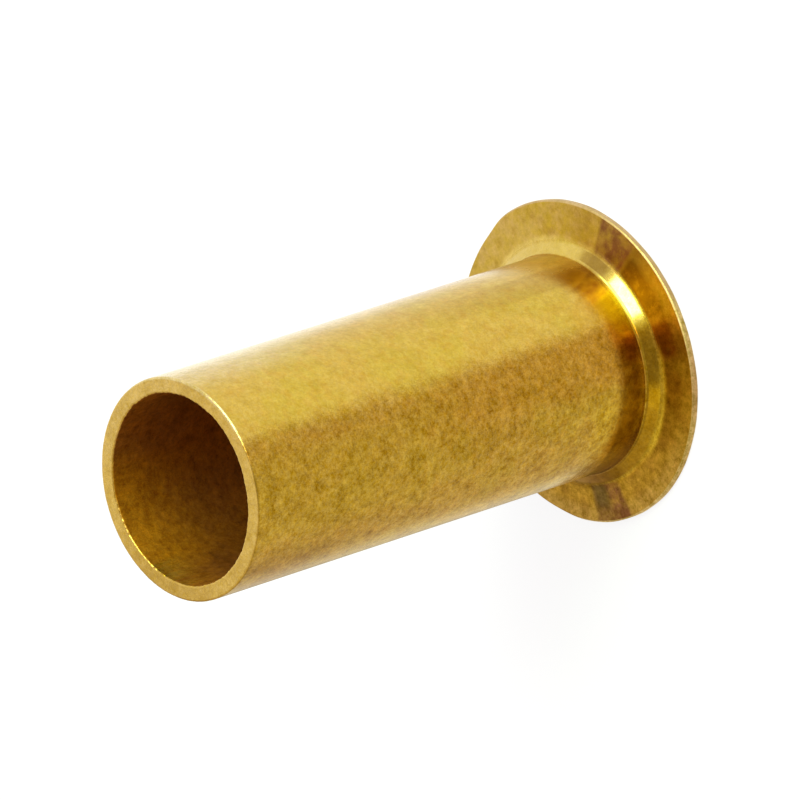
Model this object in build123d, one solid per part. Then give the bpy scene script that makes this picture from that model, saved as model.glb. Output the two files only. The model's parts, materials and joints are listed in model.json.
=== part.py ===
from build123d import *
import os

# Pipe insert sleeve: a short thin-walled brass tube with one end flared into a round flange. It is
# pushed into the end of a soft pipe, and stops a compression nut from crushing the pipe.
# Millimetres, +Z up. The origin is the centre of the flange's underside, and the tube rises from
# the flange along +Z to its free end.

# Driving dimensions
tube_diameter = 6.2  # outside of the straight tube, a slide fit in a 1/4 inch (6.35 mm) pipe bore
wall_thickness = 0.45  # wall of the straight tube
overall_length = 15.2  # from the flange's underside to the free end
flange_thickness = 0.26  # thinner than the tube's wall, because the flare stretches it
flange_land = 1.07  # width of the flange's face outside the shoulder, where the pipe's end stops
shoulder_width = 0.38  # how far the sloped shoulder spreads from the tube along the flange's face
shoulder_height = 0.28  # how far the sloped shoulder climbs the tube
corner_radius = 0.15  # hollow where the shoulder leaves the tube
toe_radius = 0.37  # hollow where the shoulder meets the flange's face
mouth_radius = 0.75  # rounding from the bore to the flange's underside
end_edge_radius = 0.04  # slight rounding of the two edges of the cut end
rim_edge_radius = 0.08  # slight rounding of the two edges of the flange's rim

# Derived from the driving dimensions
tube_radius = tube_diameter / 2
bore_radius = tube_radius - wall_thickness
toe_position = tube_radius + shoulder_width
flange_radius = toe_position + flange_land


def rounded(section: Sketch, corners: dict[tuple[float, float], float]) -> Sketch:
    """Section with each of its corners, named by its place, rounded to the radius given for it."""
    for place, radius in corners.items():
        corner = section.vertices().sort_by_distance((*place, 0))[0]
        section = fillet(corner, radius)
    return section


def half_section() -> Sketch:
    """Half section through the wall, as (radius, height)."""
    shoulder_top = (tube_radius, flange_thickness + shoulder_height)
    shoulder_toe = (toe_position, flange_thickness)
    mouth = (bore_radius, 0)
    end_outside = (tube_radius, overall_length)
    end_inside = (bore_radius, overall_length)
    rim_bottom = (flange_radius, 0)
    rim_top = (flange_radius, flange_thickness)
    sharp = make_face(
        Polyline(
            mouth, rim_bottom, rim_top, shoulder_toe, shoulder_top, end_outside, end_inside, close=True
        )
    )
    radii = {
        mouth: mouth_radius,
        rim_bottom: rim_edge_radius,
        rim_top: rim_edge_radius,
        shoulder_toe: toe_radius,
        shoulder_top: corner_radius,
        end_outside: end_edge_radius,
        end_inside: end_edge_radius,
    }
    return rounded(sharp, radii)


def insert_sleeve() -> Part:
    """The whole sleeve, turned from its half section about +Z."""
    return revolve(Plane.XZ * half_section(), Axis.Z)


os.makedirs("parts", exist_ok=True)
export_step(insert_sleeve(), "parts/insert_sleeve.step")
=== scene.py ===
import json
import logging
import math
from dataclasses import dataclass
from enum import Enum

import bpy
import numpy as np
from mathutils import Matrix, Vector


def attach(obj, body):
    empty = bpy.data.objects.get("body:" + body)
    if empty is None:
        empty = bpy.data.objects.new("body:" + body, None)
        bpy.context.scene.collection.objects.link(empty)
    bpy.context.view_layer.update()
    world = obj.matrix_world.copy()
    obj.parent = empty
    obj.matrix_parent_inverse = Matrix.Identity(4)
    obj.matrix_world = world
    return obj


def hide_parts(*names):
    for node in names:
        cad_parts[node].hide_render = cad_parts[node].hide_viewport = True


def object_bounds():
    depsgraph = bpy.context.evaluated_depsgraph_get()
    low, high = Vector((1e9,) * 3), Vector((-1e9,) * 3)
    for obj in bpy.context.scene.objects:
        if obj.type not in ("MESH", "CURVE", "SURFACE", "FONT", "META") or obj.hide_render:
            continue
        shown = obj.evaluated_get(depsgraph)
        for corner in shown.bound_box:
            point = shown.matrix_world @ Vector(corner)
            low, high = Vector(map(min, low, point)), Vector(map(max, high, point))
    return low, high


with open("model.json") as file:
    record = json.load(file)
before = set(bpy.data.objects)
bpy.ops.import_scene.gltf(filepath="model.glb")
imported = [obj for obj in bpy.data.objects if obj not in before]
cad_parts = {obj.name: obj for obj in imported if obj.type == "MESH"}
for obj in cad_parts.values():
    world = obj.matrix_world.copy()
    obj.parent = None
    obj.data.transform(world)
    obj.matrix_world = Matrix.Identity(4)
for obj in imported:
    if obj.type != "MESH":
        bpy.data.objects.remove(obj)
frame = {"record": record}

CAD_LOW, CAD_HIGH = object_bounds()

log = logging.getLogger("pipe insert sleeve")

MM = 0.001
Triple = tuple[float, float, float]
Colour = Triple


# ---------------------------------------------------------------------------------------------
# Shader maths
# ---------------------------------------------------------------------------------------------


class Signal:
    """A number that varies over a surface or a sky: one output socket, with arithmetic."""

    def __init__(self, graph: "Graph", socket: bpy.types.NodeSocket) -> None:
        """Wraps a socket of a graph's node tree."""
        self.graph = graph
        self.socket = socket

    def __add__(self, other: "Signal | float") -> "Signal":
        """Sum."""
        return self.graph.number("ADD", self, other)

    def __sub__(self, other: "Signal | float") -> "Signal":
        """Difference."""
        return self.graph.number("SUBTRACT", self, other)

    def __rsub__(self, other: float) -> "Signal":
        """Difference from a plain number, as in 1 - mask."""
        return self.graph.number("SUBTRACT", other, self)

    def __mul__(self, other: "Signal | float") -> "Signal":
        """Product."""
        return self.graph.number("MULTIPLY", self, other)

    __radd__ = __add__
    __rmul__ = __mul__

    def rise(self, none: float, full: float) -> "Signal":
        """Smooth step from 0 at none to 1 at full. Full may be the lower of the two."""
        first, last = (0.0, 1.0) if none < full else (1.0, 0.0)
        inputs = {
            "Value": self,
            "From Min": min(none, full),
            "From Max": max(none, full),
            "To Min": first,
            "To Max": last,
        }
        settings = {"interpolation_type": "SMOOTHSTEP"}
        made = self.graph.node("ShaderNodeMapRange", settings, inputs)
        return Signal(self.graph, made.outputs[0])

    def band(self, low: float, high: float, soft: float) -> "Signal":
        """One between low and high and zero outside, with edges that reach soft to either side."""
        return self.rise(low - soft, low + soft) * self.rise(high + soft, high - soft)


class Graph:
    """A node tree that is written as expressions."""

    def __init__(self, tree: bpy.types.NodeTree) -> None:
        """Takes over a node tree and empties it."""
        self.tree = tree
        tree.nodes.clear()

    def node(
        self,
        kind: str,
        settings: dict[str, object] | None = None,
        inputs: dict[str | int, object] | None = None,
    ) -> bpy.types.Node:
        """Adds a node.

        Args:
            kind: The node's type name.
            settings: Its properties, which are set first.
            inputs: A value, a Signal or a socket for each of its input sockets.

        Returns:
            The new node.
        """
        made = self.tree.nodes.new(kind)
        for name, value in (settings or {}).items():
            setattr(made, name, value)
        for key, value in (inputs or {}).items():
            if isinstance(value, Signal):
                value = value.socket
            if isinstance(value, bpy.types.NodeSocket):
                self.tree.links.new(value, made.inputs[key])
            else:
                made.inputs[key].default_value = value
        return made

    def number(self, operation: str, *values: "Signal | float") -> Signal:
        """A Math node's result for one, two or three numbers."""
        made = self.node("ShaderNodeMath", {"operation": operation}, dict(enumerate(values)))
        return Signal(self, made.outputs[0])

    def blend(
        self, factor: "Signal | float", under: object, over: object
    ) -> bpy.types.NodeSocket:
        """Colour under with colour over laid on it.

        Args:
            factor: How much of the upper colour shows, from 0 to 1.
            under: Lower colour, as three numbers or a socket.
            over: Upper colour, as three numbers or a socket.

        Returns:
            The socket with the mixed colour.
        """
        under, over = [(*c, 1.0) if isinstance(c, tuple) else c for c in (under, over)]
        inputs = {0: factor, 6: under, 7: over}
        return self.node("ShaderNodeMix", {"data_type": "RGBA"}, inputs).outputs[2]

    def vector(self, operation: str, first: object, second: object) -> bpy.types.NodeSocket:
        """A Vector Math node's vector result."""
        made = self.node("ShaderNodeVectorMath", {"operation": operation}, {0: first, 1: second})
        return made.outputs[0]

    def scaled(self, vector: object, by: "Signal | float") -> bpy.types.NodeSocket:
        """A vector or a colour times a number."""
        made = self.node("ShaderNodeVectorMath", {"operation": "SCALE"}, {0: vector, "Scale": by})
        return made.outputs[0]

    def dot(self, first: object, second: Triple) -> Signal:
        """Dot product of a vector socket with a fixed vector."""
        settings = {"operation": "DOT_PRODUCT"}
        made = self.node("ShaderNodeVectorMath", settings, {0: first, 1: second})
        return Signal(self, made.outputs["Value"])

    def parts(self, vector: object) -> tuple[Signal, Signal, Signal]:
        """The three components of a vector."""
        x, y, z = self.node("ShaderNodeSeparateXYZ", None, {0: vector}).outputs
        return Signal(self, x), Signal(self, y), Signal(self, z)


@dataclass(frozen=True)
class Cloud:
    """Smooth noise, mostly between 0.3 and 0.7.

    The scale is the number of clouds in a unit of length, and the offset says which part of the
    endless noise is used.
    """

    scale: float
    detail: float
    roughness: float
    offset: Triple = (0.0, 0.0, 0.0)

    def at(self, graph: Graph, place: object) -> Signal:
        """The noise at a place."""
        inputs = {
            "Vector": graph.vector("ADD", place, self.offset),
            "Scale": self.scale,
            "Detail": self.detail,
            "Roughness": self.roughness,
        }
        return Signal(graph, graph.node("ShaderNodeTexNoise", None, inputs).outputs[0])


class Coat:
    """A colour that is painted over in layers."""

    def __init__(self, graph: Graph, colour: object) -> None:
        """Starts with an even colour or a socket."""
        self.graph, self.colour = graph, colour

    def lay(self, share: "Signal | float", colour: object) -> None:
        """Lays another colour over it, as strongly as share says, from 0 to 1."""
        self.colour = self.graph.blend(share, self.colour, colour)


# ---------------------------------------------------------------------------------------------
# The sleeve's shape
# ---------------------------------------------------------------------------------------------


def mount(name: str) -> dict:
    """The record's mount of that name."""
    return next(m for m in frame["record"]["mounts"] if m["name"] == name)


def rounded_corner(
    before: np.ndarray, corner: np.ndarray, after: np.ndarray, radius: float, steps: int
) -> np.ndarray:
    """Points of the arc that rounds a corner of a polygon.

    The arc touches both sides at radius / tan(half the corner's angle) from the corner. Its
    centre lies on the corner's bisector, and its points are the centre plus the radius times the
    unit vector that turns evenly from one touching point to the other.

    Args:
        before: The polygon's point before the corner.
        corner: The corner itself.
        after: The polygon's point after the corner.
        radius: The arc's radius.
        steps: How many even steps the arc is divided into.

    Returns:
        Array of (steps + 1, 2) points.
    """
    back = (before - corner) / np.linalg.norm(before - corner)
    on = (after - corner) / np.linalg.norm(after - corner)
    half = 0.5 * math.acos(float(np.clip(back @ on, -1, 1)))
    bisector = (back + on) / np.linalg.norm(back + on)
    centre = corner + bisector * radius / math.sin(half)
    start = corner + back * radius / math.tan(half) - centre
    end = corner + on * radius / math.tan(half) - centre
    first = math.atan2(start[1], start[0])
    turn = math.atan2(start[0] * end[1] - start[1] * end[0], float(start @ end))
    angle = first + turn * np.linspace(0, 1, steps + 1)
    return centre + radius * np.stack([np.cos(angle), np.sin(angle)], axis=1)


def straight_run(start: np.ndarray, end: np.ndarray, rows: int, margin: float) -> np.ndarray:
    """Even inner points of a straight side, the outermost near its ends to keep its shading flat.

    Args:
        start: Where the side starts.
        end: Where it ends.
        rows: How many even parts the side has.
        margin: Distance of the outermost points from the ends.

    Returns:
        Array of (rows + 1, 2) points.
    """
    length = float(np.linalg.norm(end - start))
    share = np.linspace(margin / length, 1 - margin / length, rows + 1)[:, None]
    return start + (end - start) * share


def smooth_step(distance: np.ndarray, soft: float) -> np.ndarray:
    """One over (one plus e to the power of minus distance / soft), which rises from 0 to 1."""
    return 1 / (1 + np.exp(-distance / soft))


@dataclass(frozen=True)
class Wave:
    """A sine wave round the axis: its height, how often it repeats in a turn, and its phase."""

    height: float
    count: int
    phase: float

    def at(self, angle: np.ndarray) -> np.ndarray:
        """Height times the sine of (count times the angle plus the phase)."""
        return self.height * np.sin(self.count * angle + self.phase)


@dataclass(frozen=True)
class Flat:
    """A flattened stretch of the rim: its depth, and its end and softness in degrees."""

    depth: float
    end: float
    soft: float


@dataclass
class SleeveShell:
    """The thin-walled tube with its flared flange, turned in one piece."""

    tube_radius: float = mount("spigot")["dims"]["r_mm"] * MM
    bore_radius: float = mount("flow_bore")["dims"]["r_mm"] * MM
    flange_thickness: float = mount("pipe_stop")["pos_m"][2]
    flange_radius: float = CAD_HIGH.x
    length: float = CAD_HIGH.z
    shoulder_width: float = 0.38 * MM
    shoulder_height: float = 0.28 * MM
    corner_radius: float = 0.15 * MM
    toe_radius: float = 0.37 * MM
    mouth_radius: float = 0.75 * MM
    end_edge_radius: float = 0.05 * MM
    rim_droop: float = 0.075 * MM
    rim_top_radius: float = 0.06 * MM
    rim_low_radius: float = 0.02 * MM
    right_flat: Flat = Flat(0.105 * MM, 71.0, 3.0)
    left_flat: Flat = Flat(0.06 * MM, 60.0, 4.0)
    flats_blend: float = 5.0
    rim_waves: tuple[Wave, ...] = (Wave(0.004 * MM, 9, 0.4), Wave(0.0028 * MM, 23, 1.9))
    oval: float = 0.035 * MM
    oval_start: float = 9 * MM
    oval_full: float = 15 * MM
    end_waves: tuple[Wave, ...] = (
        Wave(0.45, 5, 0.7),
        Wave(0.35, 13, 2.1),
        Wave(0.30, 29, 4.0),
        Wave(0.25, 61, 1.3),
        Wave(0.30, 103, 5.2),
    )
    inner_waviness: float = 0.016 * MM
    outer_waviness: float = 0.004 * MM
    waves_reach: float = 0.3 * MM
    nick_depth: float = 0.035 * MM
    nick_degrees: float = 17.0
    nick_width: float = 1.6
    side_margin: float = 0.008 * MM
    segments: int = 720

    def corners(self) -> tuple[np.ndarray, np.ndarray, np.ndarray, np.ndarray]:
        """Half section as a sharp polygon of (radius, height), once round the wall.

        Returns:
            The corners, the radius that rounds each, the steps of each rounding and the number of
            even parts of the side that follows it.
        """
        tube, bore, rim = self.tube_radius, self.bore_radius, self.flange_radius
        face, end = self.flange_thickness, self.length
        toe = tube + self.shoulder_width
        rows = [
            (bore, 0, self.mouth_radius, 14, 4),
            (rim, 0, self.rim_low_radius, 4, 2),
            (rim, face - self.rim_droop, self.rim_top_radius, 7, 6),
            (toe, face, self.toe_radius, 7, 3),
            (tube, face + self.shoulder_height, self.corner_radius, 9, 12),
            (tube, end, self.end_edge_radius, 6, 6),
            (bore, end, self.end_edge_radius, 6, 12),
        ]
        table = np.array(rows, dtype=float)
        return table[:, :2], table[:, 2], table[:, 3].astype(int), table[:, 4].astype(int)

    def profile(self) -> np.ndarray:
        """The rounded half section as a closed loop of (radius, height) points, with no repeat."""
        corner, radius, steps, parts = self.corners()
        before, after = np.roll(corner, 1, axis=0), np.roll(corner, -1, axis=0)
        arcs = [rounded_corner(*row) for row in zip(before, corner, after, radius, steps)]
        following = arcs[1:] + arcs[:1]
        sides = [
            straight_run(arc[-1], following_arc[0], rows, self.side_margin)
            for arc, following_arc, rows in zip(arcs, following, parts)
        ]
        return np.concatenate([np.concatenate(pair) for pair in zip(arcs, sides)])

    def end_wander(self, angle: np.ndarray, height: np.ndarray, radius: np.ndarray) -> np.ndarray:
        """How far the cut end strays from round, as an addition to the radius.

        The last few millimetres are slightly oval: minus the sine of twice the angle, times the
        square of how far the height is from the start of the oval part to its full height. The
        edges also follow a few sine waves, which fade out as the square of the height below the
        end, and the inner edge has one nick, a bell curve of the angle.

        Args:
            angle: Direction of each point about the axis, in radians from +X.
            height: Height of each point.
            radius: Radius of each point.

        Returns:
            Array of additions to the radius.
        """
        oval_share = (height - self.oval_start) / (self.oval_full - self.oval_start)
        oval = -self.oval * np.sin(2 * angle) * np.clip(oval_share, 0, 1) ** 2
        below_end = (self.length - height) / self.waves_reach
        near_end = np.clip(1 - below_end, 0, 1) ** 2
        wall = self.tube_radius - self.bore_radius
        inner = np.clip((self.tube_radius - radius) / wall, 0, 1)
        waves = sum(wave.at(angle) for wave in self.end_waves)
        nick_turn = (angle - math.radians(self.nick_degrees) + math.pi) % (2 * math.pi) - math.pi
        nick = np.exp(-((nick_turn / math.radians(self.nick_width)) ** 2))
        outer_part = (1 - inner) * self.outer_waviness * waves
        inner_part = inner * (self.inner_waviness * waves + self.nick_depth * nick)
        return oval + near_end * (outer_part + inner_part)

    def rim_wander(self, angle: np.ndarray, radius: np.ndarray) -> np.ndarray:
        """How far the flange's rim strays from round, as an addition to the radius.

        Two flats that meet at the back, each ending in a smooth step of the direction about the
        axis, and small sine waves. All of it grows evenly from nothing at the shoulder to its full
        size at the rim.

        Args:
            angle: Direction of each point about the axis, in radians from +X.
            radius: Radius of each point.

        Returns:
            Array of additions to the radius.
        """
        toe = self.tube_radius + self.shoulder_width
        share = np.clip((radius - toe) / (self.flange_radius - toe), 0, 1)
        from_back = np.degrees((angle - math.pi / 2 + math.pi) % (2 * math.pi) - math.pi)
        to_left = smooth_step(from_back, self.flats_blend)
        right = (1 - to_left) * smooth_step(self.right_flat.end + from_back, self.right_flat.soft)
        left = to_left * smooth_step(self.left_flat.end - from_back, self.left_flat.soft)
        flats = self.right_flat.depth * right + self.left_flat.depth * left
        ripple = sum(wave.at(angle) for wave in self.rim_waves)
        return share * (ripple - flats)

    def build(self) -> bpy.types.Object:
        """Turns the profile about the axis.

        Point (i, j) of the grid lies at angle i of the circle and at point j of the profile:
        (radius cos angle, radius sin angle, height). Both ways the grid closes on itself.

        Returns:
            The shell's mesh object.
        """
        loop = self.profile()
        angle = np.linspace(0, 2 * math.pi, self.segments, endpoint=False)[:, None]
        radius, height = loop[None, :, 0], loop[None, :, 1]
        radius = radius + self.end_wander(angle, height, radius) + self.rim_wander(angle, radius)
        height = np.broadcast_to(height, radius.shape)
        place = np.stack([radius * np.cos(angle), radius * np.sin(angle), height], axis=-1)
        points = place.reshape(-1, 3)

        number = np.arange(len(points)).reshape(radius.shape)
        ahead = np.roll(number, -1, axis=0)
        corners = [number, ahead, np.roll(ahead, -1, axis=1), np.roll(number, -1, axis=1)]
        faces = np.stack(corners, axis=-1).reshape(-1, 4)

        mesh = bpy.data.meshes.new("sleeve_shell")
        mesh.vertices.add(len(points))
        mesh.vertices.foreach_set("co", points.astype(np.float32).ravel())
        mesh.loops.add(faces.size)
        mesh.loops.foreach_set("vertex_index", faces.astype(np.int32).ravel())
        mesh.polygons.add(len(faces))
        starts = np.arange(0, faces.size, 4, dtype=np.int32)
        mesh.polygons.foreach_set("loop_start", starts)
        mesh.polygons.foreach_set("use_smooth", np.ones(len(faces), dtype=bool))
        mesh.update(calc_edges=True)
        mesh.validate()
        shell = bpy.data.objects.new("sleeve_shell", mesh)
        bpy.context.scene.collection.objects.link(shell)
        return shell

    def dress(self, shell: bpy.types.Object, finish: "BrassWithPaintedLight") -> None:
        """Gives the shell its finish and its place in the part."""
        shell.data.materials.append(finish.material(self))
        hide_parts("insert_sleeve")
        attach(shell, "root")


# ---------------------------------------------------------------------------------------------
# The finish
# ---------------------------------------------------------------------------------------------


class Sector(Enum):
    """Spans of direction about the axis: first, last and soft edge, in degrees from -Y to +X."""

    BLUSH = (-17.0, 12.0, 7.0)
    # Calmer speckle here paints the highlight washing it out.
    LIT_SIDE = (12.0, 165.0, 8.0)
    BURNISHED_ROOT = (-58.0, 52.0, 8.0)
    # Painted light: the face paler on its lit side.
    LIT_FACE = (51.0, 168.0, 11.0)
    LOWER_FACE = (-166.0, -48.0, 14.0)
    FRONT_FACE = (-48.0, -14.0, 8.0)
    # Browner beside the two painted dark reflections.
    BESIDE_UPPER_REFLECTION = (48.0, 68.0, 8.0)
    BESIDE_LOWER_REFLECTION = (-150.0, -106.0, 3.0)
    # Painted light: the inner face brighter on the lit side.
    LIT_FAR_FACE = (85.0, 160.0, 10.0)
    # Painted reflections of the tube in the face: orange, then dark red in front.
    AMBER_REFLECTION = (7.0, 34.0, 3.0)
    TUBE_REFLECTION = (-11.0, 6.0, 4.0)
    TUBE_REFLECTION_FRINGE = (-27.0, -14.0, 4.0)
    BARE_HEM_GAP = (-50.0, 95.0, 20.0)
    # Painted light and painted shade: the shoulder's lit side and its shaded side.
    LIT_SHOULDER = (8.0, 164.0, 4.0)
    SHADED_SHOULDER = (-164.0, -51.0, 7.0)
    MOTTLED_SHOULDER = (-160.0, 2.0, 6.0)
    # Painted light on the toe's lit side.
    LIT_TOE = (75.0, 160.0, 20.0)
    # Painted highlight in the hollow of the toe.
    FRONT_TOE_HIGHLIGHT = (-58.0, -8.0, 7.0)
    # Painted reflections of dark surroundings in the face, and a grey one beside the lower.
    UPPER_DARK_REFLECTION = (34.0, 51.0, 1.2)
    LOWER_DARK_REFLECTION = (-104.0, -86.5, 1.2)
    GREY_REFLECTION = (-104.0, -95.0, 2.5)
    # Painted grey reflection on the rim.
    RIM_REFLECTION_FRONT = (-32.0, -9.0, 5.0)
    RIM_REFLECTION_SIDE = (10.0, 160.0, 5.0)
    BROWN_CUT = (-165.0, -95.0, 15.0)
    # Worn paler edge of the cut end, kept to the lit side as a painted highlight.
    WORN_AND_LIT_EDGE = (17.0, 160.0, 7.0)
    # Painted shade in the bore: less on the right far side, more on both side walls.
    LIGHTER_BORE = (95.0, 168.0, 10.0)
    BORE_RIGHT = (104.0, 160.0, 12.0)
    BORE_LEFT = (-132.0, -70.0, 14.0)

    def mask(self, at: "Regions") -> Signal:
        """One within the span, on every part of the shell."""
        return at.turn.band(*self.value)


class Patch(Enum):
    """Tinted patches of the tube, by direction and by height, most of them painted reflections,
    highlights and shade.

    Each has a span of directions, as a Sector has, and then heights in millimetres: either where
    it is gone and where it is full, or its low end, high end and soft edge.
    """

    SALLOW = ((-44.0, 0.0, 6.0), (8.0, 10.5))
    # Painted pale reflections on the far side of the tube, towards the free end and along its
    # middle.
    PALE_END_REFLECTION = ((53.0, 150.0, 9.0), (9.5, 13.0))
    PALE_SIDE_REFLECTION = ((68.0, 150.0, 6.0), (5.5, 9.0))
    DUSK = ((-150.0, -54.0, 10.0), (9.5, 13.5))
    # Painted dark reflection: a strip along the tube, strongest near the flange.
    DARK_REFLECTED_STRIP = ((41.5, 58.0, 1.5), (9.5, 2.0))
    DARK_REFLECTED_STRIP_FOOT = ((35.0, 52.0, 3.0), (2.2, 1.6))
    # Painted highlights: bright gold and pale bands reflected in the tube just above the flange.
    ROOT_GOLD_HIGHLIGHT = ((-66.0, -26.0, 8.0), (3.0, 2.0))
    ROOT_PALE_HIGHLIGHT = ((-110.0, -66.0, 16.0), (1.7, 3.0, 0.5))
    # Painted pale reflection low on the far side of the root.
    ROOT_PALE_REFLECTION = ((68.0, 114.0, 16.0), (1.9, 3.8, 0.8))
    # Painted orange reflection of the lit face, and above it a painted dark reflection, in the
    # tube's root.
    ROOT_ORANGE_GLOW = ((-14.0, 29.0, 6.0), (1.45, 2.40, 0.30))
    ROOT_DARK_REFLECTION = ((18.0, 40.0, 5.0), (1.10, 1.70, 0.15))
    # Painted reflection of the shoulder's highlight in the tube, next to the flange.
    ROOT_GLEAM_REFLECTION = ((5.0, 31.0, 4.0), (1.30, 0.95))
    DARK_EDGE = ((76.0, 100.0, 4.0), (8.0, 5.0))
    # Painted shade: a darker band low on the tube's shaded side, where the flange is mirrored.
    ROOT_SHADE_BAND = ((-150.0, -38.0, 12.0), (1.60, 1.42))
    # Painted shade at the throat, where the tube meets the shoulder.
    THROAT_SHADE = ((-165.0, 3.0, 7.0), (1.20, 0.90))

    def mask(self, at: "Regions") -> Signal:
        """One within the patch and zero outside it."""
        span, heights = self.value
        edges = at.height.band if len(heights) == 3 else at.height.rise
        return at.turn.band(*span) * edges(*heights)


@dataclass
class Regions:
    """Where a point of the shell lies: its place in millimetres and a mask for each region."""

    place: bpy.types.NodeSocket
    turn: Signal
    height: Signal
    inside: Signal
    cut_end: Signal
    root: Signal
    shoulder: Signal
    toe: Signal
    land: Signal
    outer_land: Signal
    rim: Signal
    end_edge: Signal

    @classmethod
    def of(cls, graph: Graph, shell: SleeveShell) -> "Regions":
        """Tells the regions apart by radius, height and the direction about the axis.

        Each added or subtracted number is how far from a surface of the shell, in millimetres, a
        region starts or ends.

        Args:
            graph: The material's graph.
            shell: The shell whose sizes bound the regions.

        Returns:
            The regions, where turn is in degrees from -Y towards +X.
        """
        place = graph.scaled(graph.node("ShaderNodeTexCoord").outputs["Object"], 1 / MM)
        x, y, height = graph.parts(place)
        radius = graph.number("SQRT", x * x + y * y)
        turn = graph.number("ARCTAN2", x, 0.0 - y) * math.degrees(1)
        tube, bore, end = shell.tube_radius / MM, shell.bore_radius / MM, shell.length / MM
        face, rim = shell.flange_thickness / MM, shell.flange_radius / MM
        low = height.rise(face + 0.40, face + 0.30)
        below_end = height.rise(end - 0.005, end - 0.03)
        near_end = height.rise(end - 0.07, end - 0.04)
        return cls(
            place=place,
            turn=turn,
            height=height,
            inside=radius.rise(bore + 0.06, bore + 0.02) * below_end,
            cut_end=height.rise(end - 0.03, end - 0.01),
            root=height.rise(face + 2.40, face + 1.80) * radius.rise(tube + 0.05, tube + 0.01),
            shoulder=low * radius.band(tube + 0.02, tube + 0.32, 0.05),
            toe=low * radius.band(tube + 0.33, tube + 0.48, 0.09),
            land=low * radius.rise(tube + 0.30, tube + 0.44),
            outer_land=radius.rise(tube + 0.83, rim - 0.25),
            rim=low * radius.rise(rim - 0.06, rim - 0.03),
            end_edge=near_end * radius.rise(tube - 0.07, tube - 0.03),
        )


@dataclass(frozen=True)
class Roughness:
    """The tube's roughness, how far the grain swings it, and what each region adds to it."""

    tube: float = 0.16
    grain: float = 0.10
    land: float = 0.17
    inside: float = 0.40
    burnished: float = -0.06
    rim: float = 0.12
    cut_end: float = 0.06
    dull_root: float = 0.20

    def over(self, at: Regions, fine: Signal, burnished: Signal) -> Signal:
        """The roughness of every region.

        Args:
            at: The shell's regions.
            fine: Noise of the finest grain.
            burnished: How burnished a place is, from 0 to 1.

        Returns:
            The roughness.
        """
        rough = self.tube + (fine - 0.5) * self.grain + burnished * self.burnished
        rough = rough + at.land * self.land + at.inside * self.inside
        rough = rough + at.rim * self.rim + at.cut_end * self.cut_end
        dull = at.root * at.height.rise(2.8, 1.4) * (1 - Sector.BURNISHED_ROOT.mask(at))
        return rough + dull * self.dull_root


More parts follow.
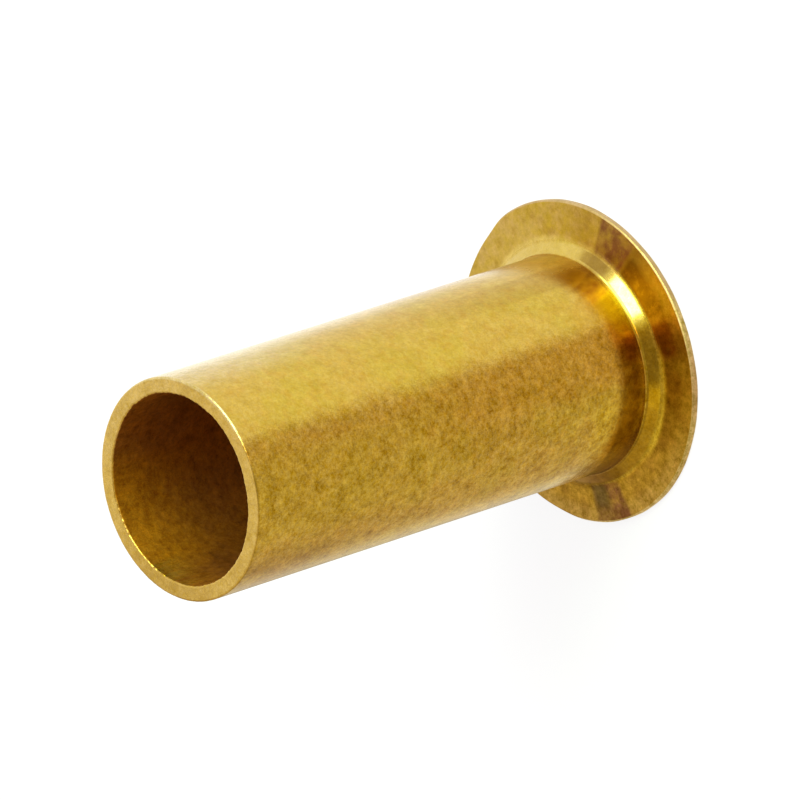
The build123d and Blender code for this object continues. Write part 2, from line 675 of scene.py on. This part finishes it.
@dataclass(frozen=True)
class BrassWithPaintedLight:
    """Drawn yellow brass, satin and speckled with tarnish, smoother near the flange, with painted
    reflections, highlights and shade laid into its colour by direction about the axis and by
    height.
    """

    gold: Colour = (0.70, 0.470, 0.080)
    olive: Colour = (0.66, 0.472, 0.055)
    russet: Colour = (0.68, 0.385, 0.052)
    # Painted pale reflection, laid on the tube's far side and near its root.
    pale_reflection: Colour = (0.86, 0.71, 0.36)
    # Painted highlights of the tube's root, pale and gold.
    root_highlight: Colour = (0.96, 0.80, 0.34)
    root_gold_highlight: Colour = (0.86, 0.62, 0.060)
    # Painted reflection of the shoulder's highlight.
    reflected_glow: Colour = (1.00, 0.75, 0.030)
    # Painted light: the colour of the lit sides of shoulder, toe and face.
    bright: Colour = (0.76, 0.55, 0.130)
    dull: Colour = (0.68, 0.415, 0.030)
    land: Colour = (0.58, 0.365, 0.030)
    # Painted light: the face's paler lit side.
    pale_land: Colour = (0.62, 0.39, 0.085)
    brown: Colour = (0.37, 0.185, 0.014)
    # Painted orange reflection of the tube in the face.
    reflected_amber: Colour = (0.165, 0.074, 0.002)
    rust: Colour = (0.62, 0.325, 0.030)
    # Painted dark red reflection of the tube in the face.
    reflected_umber: Colour = (0.25, 0.082, 0.004)
    # Painted highlight in the hollow of the toe.
    toe_highlight: Colour = (0.90, 0.64, 0.055)
    # Painted dark and grey reflections of the surroundings in the face.
    dark_reflection: Colour = (0.25, 0.100, 0.028)
    grey_reflection: Colour = (0.16, 0.115, 0.020)
    worn: Colour = (0.80, 0.63, 0.270)
    # Painted grey reflection on the rim.
    rim_reflection_grey: Colour = (0.56, 0.355, 0.165)
    cut: Colour = (0.74, 0.49, 0.112)
    oxide: Colour = (0.46, 0.160, 0.0010)
    scale: Colour = (0.22, 0.062, 0.006)
    # Painted shade for the dark band low on the tube.
    root_shade: Colour = (0.37, 0.25, 0.018)
    swing: Triple = (1.0, 1.2, 2.4)
    land_swing: Triple = (1.0, 1.1, 2.2)
    fine_swing: Triple = (0.0, 0.3, 3.6)
    least_factor: Triple = (0.1, 0.1, 0.1)
    speckle_contrast: float = 2.6
    patch_contrast: float = 0.9
    # Calmer speckle on the lit side, as a painted highlight washing it out.
    lit_side_calm: float = 0.62
    shoulder_calm: float = 0.4
    cut_end_calm: float = 0.58
    drift_cloud: Cloud = Cloud(0.55, 2.0, 0.5, (11.0, 2.4, 6.7))
    flange_cloud: Cloud = Cloud(2.0, 4.0, 0.7, (6.2, 0.8, 1.7))
    patch_cloud: Cloud = Cloud(2.4, 2.0, 0.6, (2.7, 5.1, 9.3))
    mottle_cloud: Cloud = Cloud(2.6, 4.0, 0.65, (3.1, 8.2, 0.5))
    speckle_cloud: Cloud = Cloud(5.5, 5.0, 1.0)
    fine_cloud: Cloud = Cloud(10.0, 2.0, 0.7, (7.3, 1.9, 4.4))
    roughness: Roughness = Roughness()
    bore_metallic: float = 0.5
    specular: float = 0.25
    relief_depth: float = 0.004 * MM

    def cover_tube(self, coat: Coat, at: Regions, mottle: Signal) -> None:
        """Lays clouds and broad tints over the tube, with painted pale reflections on its far side
        and a painted dark reflected strip.

        Args:
            coat: The colour so far.
            at: The shell's regions.
            mottle: Noise of the size of small clouds.
        """
        drift = self.drift_cloud.at(coat.graph, at.place)
        coat.lay(drift.rise(0.40, 0.62) * 0.7, self.olive)
        coat.lay(mottle.rise(0.44, 0.66) * 0.4, self.russet)
        blush = Sector.BLUSH.mask(at) * (0.35 + at.height.rise(10.5, 5.5) * 0.65)
        coat.lay(blush * (0.35 + mottle * 0.6), self.russet)
        coat.lay(Patch.SALLOW.mask(at) * 0.5, self.olive)
        # Painted pale reflections on the far side of the tube.
        coat.lay(Patch.PALE_END_REFLECTION.mask(at) * 0.4 + Patch.PALE_SIDE_REFLECTION.mask(at) * 0.35, self.pale_reflection)
        coat.lay(Patch.DUSK.mask(at) * (0.3 + mottle * 0.4), self.brown)
        # Painted dark reflected strip along the tube.
        coat.lay(Patch.DARK_REFLECTED_STRIP.mask(at) * 0.30 + Patch.DARK_REFLECTED_STRIP_FOOT.mask(at) * 0.4, self.brown)

    def root_reflections_and_shade(self, coat: Coat, at: Regions) -> None:
        """Lays the painted reflections, highlights and shade near the flange, and a darker stretch
        at 76 to 100 degrees low on the tube, each as (patch, share, colour).

        Args:
            coat: The colour so far.
            at: The shell's regions.
        """
        layers = (
            # Painted highlights in bands just above the flange.
            (Patch.ROOT_GOLD_HIGHLIGHT, 0.7, self.root_gold_highlight),
            (Patch.ROOT_PALE_HIGHLIGHT, 0.45, self.root_highlight),
            # Painted pale reflection on the far side of the root.
            (Patch.ROOT_PALE_REFLECTION, 0.30, self.pale_reflection),
            # Painted orange glow, then a painted dark reflection.
            (Patch.ROOT_ORANGE_GLOW, 0.5, self.russet),
            (Patch.ROOT_DARK_REFLECTION, 0.35, self.brown),
            # Painted reflection of the shoulder's highlight.
            (Patch.ROOT_GLEAM_REFLECTION, 0.9, self.reflected_glow),
            (Patch.DARK_EDGE, 0.3, self.brown),
            # Painted shade in a band low on the tube.
            (Patch.ROOT_SHADE_BAND, 0.75, self.root_shade),
            # Painted shade at the throat.
            (Patch.THROAT_SHADE, 0.25, self.brown),
        )
        for patch, share, colour in layers:
            coat.lay(patch.mask(at) * share, colour)

    def cover_face(self, coat: Coat, at: Regions, mottle: Signal, clouds: Signal) -> None:
        """Lays the flange's face over the tube's tints, with its lower and front sides, and
        painted light that makes the far, lit side paler.

        Args:
            coat: The colour so far.
            at: The shell's regions.
            mottle: Noise of the size of small clouds.
            clouds: Noise of the size of the flange's clouds.
        """
        # Painted light: the face paler on its lit side, in clouds.
        paler = mottle.rise(0.36, 0.66) * Sector.LIT_FACE.mask(at)
        coat.lay(at.land, coat.graph.blend(paler, self.land, self.pale_land))
        lower = at.land * Sector.LOWER_FACE.mask(at)
        coat.lay(lower * 0.5, self.rust)
        coat.lay(lower * (clouds * 2.2 - 0.85), self.brown)
        front = at.land * Sector.FRONT_FACE.mask(at) * (1.1 - at.outer_land)
        coat.lay(front * (clouds * 1.4 - 0.3), self.brown)
        # Browner beside the two painted dark reflections.
        beside_upper = Sector.BESIDE_UPPER_REFLECTION.mask(at) * 0.4
        beside_lower = Sector.BESIDE_LOWER_REFLECTION.mask(at) * 0.3
        coat.lay(at.land * (beside_upper + beside_lower), self.brown)
        # Painted light: the inner face brighter on the lit side.
        far = at.land * Sector.LIT_FAR_FACE.mask(at) * (1 - at.outer_land)
        coat.lay(far * 0.25, self.bright)

    def face_reflections_and_hem(self, coat: Coat, at: Regions, clouds: Signal) -> None:
        """Lays the painted reflection of the tube in the flange's face, orange and dark red, its
        paler worn hem and its tarnish clouds.

        Args:
            coat: The colour so far.
            at: The shell's regions.
            clouds: Noise of the size of the flange's clouds.
        """
        # Painted reflection of the tube in the face: orange, then dark red in front.
        reflected_amber = at.land * Sector.AMBER_REFLECTION.mask(at)
        coat.lay(reflected_amber * (0.70 + clouds * 0.7 - at.outer_land * 0.30), self.reflected_amber)
        reflected_tube = Sector.TUBE_REFLECTION.mask(at) * (0.72 + clouds * 0.8)
        fringe = Sector.TUBE_REFLECTION_FRINGE.mask(at) * (clouds * 1.2 - 0.25)
        coat.lay((reflected_tube + fringe) * at.land * (1 - at.outer_land * 0.45), self.reflected_umber)
        hem_share = 0.12 - Sector.BARE_HEM_GAP.mask(at) * 0.09
        coat.lay(at.land * at.outer_land * hem_share, self.worn)
        coat.lay(at.land * clouds.rise(0.48, 0.66) * 0.4, self.brown)

    def cover_shoulder(self, coat: Coat, at: Regions, mottle: Signal) -> None:
        """Lays the burnished shoulder, with painted light that makes its lit side pale and painted
        shade that makes its other side brown, and a painted highlight in the hollow at its toe.

        Args:
            coat: The colour so far.
            at: The shell's regions.
            mottle: Noise of the size of small clouds.
        """
        # Painted light and shade: the shoulder pale on its lit side and brown on its shaded side,
        # with brown mottle.
        lit_and_shaded_shoulder = Coat(coat.graph, self.dull)
        lit_and_shaded_shoulder.lay(Sector.LIT_SHOULDER.mask(at), self.bright)
        lit_and_shaded_shoulder.lay(Sector.SHADED_SHOULDER.mask(at) * 0.8, self.brown)
        lit_and_shaded_shoulder.lay(Sector.MOTTLED_SHOULDER.mask(at) * (mottle * 1.4 - 0.5), self.brown)
        coat.lay(at.shoulder * 0.85, lit_and_shaded_shoulder.colour)
        # Painted light on the toe's lit side.
        coat.lay(at.toe * Sector.LIT_TOE.mask(at) * 0.7, self.bright)
        # Painted highlight in the hollow of the toe, mottled.
        coat.lay(at.toe * Sector.FRONT_TOE_HIGHLIGHT.mask(at) * (0.5 + mottle * 0.5), self.toe_highlight)

    def flange_reflections_and_rim(self, coat: Coat, at: Regions, clouds: Signal) -> None:
        """Lays two painted dark reflections in the face, a painted grey reflection beside the
        lower one, and the rim's wear with a painted grey reflection.

        Args:
            coat: The colour so far.
            at: The shell's regions.
            clouds: Noise of the size of the flange's clouds.
        """
        ring = (at.land + at.shoulder * 0.35).rise(0.0, 1.0)
        # Painted dark reflections in the face, with cloudy edges.
        for dark_reflection in (Sector.UPPER_DARK_REFLECTION, Sector.LOWER_DARK_REFLECTION):
            coat.lay(ring * dark_reflection.mask(at) * (clouds * 2.3 - 0.35), self.dark_reflection)
        # Painted grey reflection beside the lower dark one.
        grey_reflection = at.land * Sector.GREY_REFLECTION.mask(at) * (1 - at.outer_land * 0.8)
        coat.lay(grey_reflection * 0.7, self.grey_reflection)
        # The rim is worn bare, with a painted grey reflection over most of it.
        rim_grey_front = Sector.RIM_REFLECTION_FRONT.mask(at) * 0.6
        rim_grey_side = Sector.RIM_REFLECTION_SIDE.mask(at) * 0.75
        rim_wear_and_reflection = coat.graph.blend(rim_grey_front + rim_grey_side, self.worn, self.rim_reflection_grey)
        coat.lay(at.rim * 0.9, rim_wear_and_reflection)

    def cover_end(self, coat: Coat, at: Regions, mottle: Signal) -> None:
        """Lays the cut end with its worn edge, and the brown bore, with painted shade deeper in
        and on its side walls.

        Args:
            coat: The colour so far.
            at: The shell's regions.
            mottle: Noise of the size of small clouds.
        """
        browner = Sector.BROWN_CUT.mask(at) * 0.20 + (mottle - 0.5) * 0.5
        coat.lay(at.cut_end * 0.9, coat.graph.blend(browner, self.cut, self.brown))
        # Worn paler edge of the cut end, kept to the lit side as a painted highlight.
        coat.lay(at.end_edge * Sector.WORN_AND_LIT_EDGE.mask(at) * 0.8, self.worn)
        # Painted shade: the bore darker deeper in, a little lighter again further down, darker on
        # its side walls near the opening, with random tarnish from the mottle.
        deep_shade = at.height.rise(14.9, 12.2) * (0.7 - Sector.LIGHTER_BORE.mask(at) * 0.4)
        deep_shade = deep_shade - at.height.rise(12.0, 10.0) * 0.35
        sides = Sector.BORE_RIGHT.mask(at) * 0.4 + Sector.BORE_LEFT.mask(at) * 0.7
        sides = sides * at.height.rise(11.5, 13.5)
        wall = coat.graph.blend(deep_shade + sides + (mottle - 0.5), self.oxide, self.scale)
        coat.lay(at.inside * 0.95, wall)

    def tints(self, graph: Graph, at: Regions) -> bpy.types.NodeSocket:
        """The colour of each region, with its clouds and stains, before the speckle.

        Args:
            graph: The material's graph.
            at: The shell's regions.

        Returns:
            The colour.
        """
        mottle = self.mottle_cloud.at(graph, at.place)
        clouds = self.flange_cloud.at(graph, at.place)
        coat = Coat(graph, self.gold)
        self.cover_tube(coat, at, mottle)
        self.root_reflections_and_shade(coat, at)
        self.cover_face(coat, at, mottle, clouds)
        self.face_reflections_and_hem(coat, at, clouds)
        self.cover_shoulder(coat, at, mottle)
        self.flange_reflections_and_rim(coat, at, clouds)
        self.cover_end(coat, at, mottle)
        return coat.colour

    def speckled(
        self, graph: Graph, at: Regions, speckle: Signal, fine: Signal
    ) -> bpy.types.NodeSocket:
        """The tints with their speckle.

        The speckle swings each colour channel about its tint, blue the most, so that light specks
        are paler and dark ones browner. It is calmer on the lit side, which paints the highlight
        washing it out, on the shoulder and on the cut end.

        Args:
            graph: The material's graph.
            at: The shell's regions.
            speckle: Noise of the size of the specks.
            fine: Noise of the finest grain.

        Returns:
            The colour.
        """
        patchy = self.patch_cloud.at(graph, at.place)
        # Calmer speckle on the lit side paints the highlight washing it out.
        lit_side = Sector.LIT_SIDE.mask(at) * (1 - at.cut_end) * (1 - at.inside)
        strength = (1 - lit_side * self.lit_side_calm) * (1 - at.shoulder * self.shoulder_calm)
        strength = strength * (1 - at.cut_end * self.cut_end_calm)
        wave = (speckle - 0.5) * self.speckle_contrast + (patchy - 0.5) * self.patch_contrast
        swing = graph.blend(at.land, self.swing, self.land_swing)
        factor = graph.vector("ADD", graph.scaled(swing, wave * strength), (1.0, 1.0, 1.0))
        finest = graph.scaled(self.fine_swing, (fine - 0.5) * (1 - at.land) * strength)
        factor = graph.vector("ADD", factor, finest)
        factor = graph.vector("MAXIMUM", factor, self.least_factor)
        return graph.vector("MULTIPLY", self.tints(graph, at), factor)

    def material(self, shell: SleeveShell) -> bpy.types.Material:
        """The whole finish as one material.

        Args:
            shell: The shell whose sizes bound the regions.

        Returns:
            The material.
        """
        made = bpy.data.materials.new("tarnished_brass")
        made.use_nodes = True
        graph = Graph(made.node_tree)
        at = Regions.of(graph, shell)
        speckle = self.speckle_cloud.at(graph, at.place)
        fine = self.fine_cloud.at(graph, at.place)
        burnished = at.shoulder + at.root * Sector.BURNISHED_ROOT.mask(at) * 0.5
        burnished = burnished.rise(0.0, 1.0)
        relief = (speckle + fine * 0.25) * (1 - burnished * 0.85)
        bump_inputs = {"Strength": 1.0, "Distance": self.relief_depth, "Height": relief}
        bump = graph.node("ShaderNodeBump", None, bump_inputs)
        inputs = {
            "Base Color": self.speckled(graph, at, speckle, fine),
            "Metallic": 1 - at.inside * (1 - self.bore_metallic),
            "Roughness": self.roughness.over(at, fine, burnished),
            "Specular IOR Level": self.specular,
            "Normal": bump.outputs[0],
        }
        shader = graph.node("ShaderNodeBsdfPrincipled", None, inputs)
        graph.node("ShaderNodeOutputMaterial", None, {"Surface": shader.outputs[0]})
        return made


# ---------------------------------------------------------------------------------------------
# The studio
# ---------------------------------------------------------------------------------------------


@dataclass(frozen=True)
class ViewPoint:
    """The camera: a long lens from above the front, rolled so that the sleeve lies aslant."""

    elevation: float = 41.286
    roll: float = 107.882
    distance: float = 0.43532
    aim: Triple = (0.000474, 0.0, 0.006723)
    lens: float = 720.0
    sensor: float = 36.0
    nearest: float = 0.01
    farthest: float = 50.0

    def place(self) -> bpy.types.Object:
        """Makes the camera.

        It looks along (0, cos e, -sin e) for the elevation e, and its up vector is the upright
        one turned about that line by the roll.

        Returns:
            The camera, which is also set as the scene's.
        """
        e, roll = math.radians(self.elevation), math.radians(self.roll)
        ahead = Vector((0, math.cos(e), -math.sin(e)))
        upright, level = Vector((0, math.sin(e), math.cos(e))), Vector((1, 0, 0))
        up = upright * math.cos(roll) + level * math.sin(roll)
        right = level * math.cos(roll) - upright * math.sin(roll)
        data = bpy.data.cameras.new("camera")
        data.lens, data.sensor_width = self.lens, self.sensor
        data.clip_start, data.clip_end = self.nearest, self.farthest
        camera = bpy.data.objects.new("camera", data)
        turn = Matrix((right, up, -ahead)).transposed().to_4x4()
        camera.matrix_world = Matrix.Translation(Vector(self.aim) - ahead * self.distance) @ turn
        bpy.context.scene.collection.objects.link(camera)
        bpy.context.scene.camera = camera
        return camera


@dataclass(frozen=True)
class Lobe:
    """A soft round patch of the room: full within one angle of its centre, gone at another."""

    centre: Triple
    full: float
    gone: float
    colour: Colour

    def mask(self, graph: Graph, side: object) -> Signal:
        """How strongly the patch shows in a direction, from the cosine of the angle to it."""
        unit = tuple(Vector(self.centre).normalized())
        outer, inner = (math.cos(math.radians(angle)) for angle in (self.gone, self.full))
        return graph.dot(side, unit).rise(outer, inner)


@dataclass(frozen=True)
class Studio:
    """A white room with one darker, warmer side, a soft box above the front and a pale floor."""

    white: Colour = (1.0, 1.0, 1.0)
    low_shade: Colour = (0.64, 0.54, 0.39)
    high_shade: Colour = (0.44, 0.36, 0.22)
    low_white: Triple = (0.955, 0.297, 0.0)
    low_edge: tuple[float, float] = (0.04, 0.19)
    high_white: Triple = (0.94, 0.33, 0.0)
    high_edge: tuple[float, float] = (0.05, 0.33)
    low_to_high: tuple[float, float] = (-0.1, 0.3)
    patches: tuple[Lobe, ...] = (
        Lobe((-0.36, 0.65, -0.66), 4.0, 18.0, (0.80, 0.74, 0.60)),
        Lobe((-0.09, 0.745, -0.66), 3.0, 8.0, (0.55, 0.48, 0.36)),
        Lobe((0.20, 0.73, -0.66), 5.0, 16.0, (1.25, 1.25, 1.25)),
        Lobe((-0.48, 0.62, 0.62), 8.0, 18.0, (0.90, 0.85, 0.60)),
        Lobe((-0.74, 0.36, 0.56), 10.0, 24.0, (0.72, 0.65, 0.42)),
        Lobe((-0.28, 0.46, 0.84), 9.0, 19.0, (0.75, 0.65, 0.50)),
        Lobe((-0.62, -0.08, 0.78), 6.0, 14.0, (0.58, 0.48, 0.22)),
        Lobe((-0.50, -0.22, 0.84), 3.0, 12.0, (0.78, 0.68, 0.22)),
        Lobe((-0.28, -0.70, 0.66), 14.0, 24.0, (0.42, 0.40, 0.24)),
        Lobe((-0.22, -0.38, 0.90), 9.0, 18.0, (0.30, 0.25, 0.15)),
        Lobe((0.34, -0.77, 0.54), 9.0, 19.0, (2.3, 1.5, 1.0)),
        Lobe((0.50, -0.42, 0.76), 14.0, 26.0, (1.3, 1.4, 1.0)),
        Lobe((0.68, -0.60, 0.42), 14.0, 24.0, (5.0, 7.4, 4.2)),
        Lobe((0.72, 0.08, 0.69), 8.0, 13.0, (0.62, 0.54, 0.42)),
    )
    lamp_side: Triple = (0.432, -0.266, 0.861)
    lamp_distance: float = 0.30
    lamp_spread: float = 12.7
    lamp_radiance: float = 6.0
    floor_size: float = 4.0
    floor_gap: float = 0.02 * MM
    floor_colour: Colour = (0.25, 0.25, 0.25)
    floor_lift: Colour = (0.80, 0.81, 0.84)

    def room(self) -> bpy.types.World:
        """The world: white on one side and warm grey on the other, darker above, with patches.

        Returns:
            The world, which is also set as the scene's.
        """
        world = bpy.data.worlds.new("white_room")
        world.use_nodes = True
        graph = Graph(world.node_tree)
        side = graph.node("ShaderNodeTexCoord").outputs["Generated"]
        high = graph.parts(side)[2].rise(*self.low_to_high)
        low_lit = graph.dot(side, self.low_white).rise(*self.low_edge)
        high_lit = graph.dot(side, self.high_white).rise(*self.high_edge)
        walls = Coat(graph, graph.blend(high, self.low_shade, self.high_shade))
        walls.lay(low_lit + high * (high_lit - low_lit), self.white)
        for lobe in self.patches:
            walls.lay(lobe.mask(graph, side), lobe.colour)
        seen = graph.node("ShaderNodeLightPath").outputs["Is Camera Ray"]
        walls.lay(Signal(graph, seen), self.white)
        inputs = {"Color": walls.colour, "Strength": 1.0}
        backdrop = graph.node("ShaderNodeBackground", None, inputs)
        graph.node("ShaderNodeOutputWorld", None, {"Surface": backdrop.outputs[0]})
        bpy.context.scene.world = world
        return world

    def soft_box(self) -> bpy.types.Object:
        """A round soft light, whose power gives its disc the wanted radiance.

        Returns:
            The lamp.
        """
        radius = self.lamp_distance * math.tan(math.radians(self.lamp_spread))
        data = bpy.data.lights.new("soft_box", "AREA")
        data.shape, data.size = "DISK", 2 * radius
        data.energy = self.lamp_radiance * math.pi * math.pi * radius**2
        lamp = bpy.data.objects.new("soft_box", data)
        side = Vector(self.lamp_side).normalized()
        lamp.location = (CAD_LOW + CAD_HIGH) / 2 + side * self.lamp_distance
        lamp.rotation_euler = side.to_track_quat("Z", "Y").to_euler()
        lamp.visible_camera = False
        bpy.context.scene.collection.objects.link(lamp)
        return lamp

    def floor_paint(self) -> bpy.types.Material:
        """Matt paint, lifted by a glow that only the camera sees, so that the floor looks white.

        Returns:
            The material.
        """
        paint = bpy.data.materials.new("floor_paint")
        paint.use_nodes = True
        graph = Graph(paint.node_tree)
        path = graph.node("ShaderNodeLightPath").outputs
        seen = Signal(graph, path["Is Camera Ray"]) + Signal(graph, path["Is Transmission Ray"])
        matt = graph.node("ShaderNodeBsdfDiffuse", None, {"Color": (*self.floor_colour, 1.0)})
        glow_inputs = {"Color": (*self.floor_lift, 1.0), "Strength": seen}
        glow = graph.node("ShaderNodeEmission", None, glow_inputs)
        both = graph.node("ShaderNodeAddShader", None, {0: matt.outputs[0], 1: glow.outputs[0]})
        graph.node("ShaderNodeOutputMaterial", None, {"Surface": both.outputs[0]})
        return paint

    def floor(self) -> bpy.types.Object:
        """A pale floor just under the flange, which takes the sleeve's shadow.

        Returns:
            The floor.
        """
        half, level = self.floor_size / 2, CAD_LOW.z - self.floor_gap
        mesh = bpy.data.meshes.new("floor")
        corners = [(-half, -half), (half, -half), (half, half), (-half, half)]
        mesh.from_pydata([(x, y, level) for x, y in corners], [], [(0, 1, 2, 3)])
        mesh.materials.append(self.floor_paint())
        floor = bpy.data.objects.new("floor", mesh)
        bpy.context.scene.collection.objects.link(floor)
        floor.visible_glossy = False
        floor.visible_shadow = False
        return floor


def main() -> None:
    """Builds the scene: the camera, the studio and the sleeve."""
    bpy.context.scene.view_settings.view_transform = "Standard"
    ViewPoint().place()
    studio = Studio()
    studio.room()
    studio.soft_box()
    studio.floor()
    shell = SleeveShell()
    piece = shell.build()
    shell.dress(piece, BrassWithPaintedLight())
    log.info("%s: %d faces", piece.name, len(piece.data.polygons))


if __name__ == "__main__":
    logging.basicConfig(level=logging.INFO)
    main()
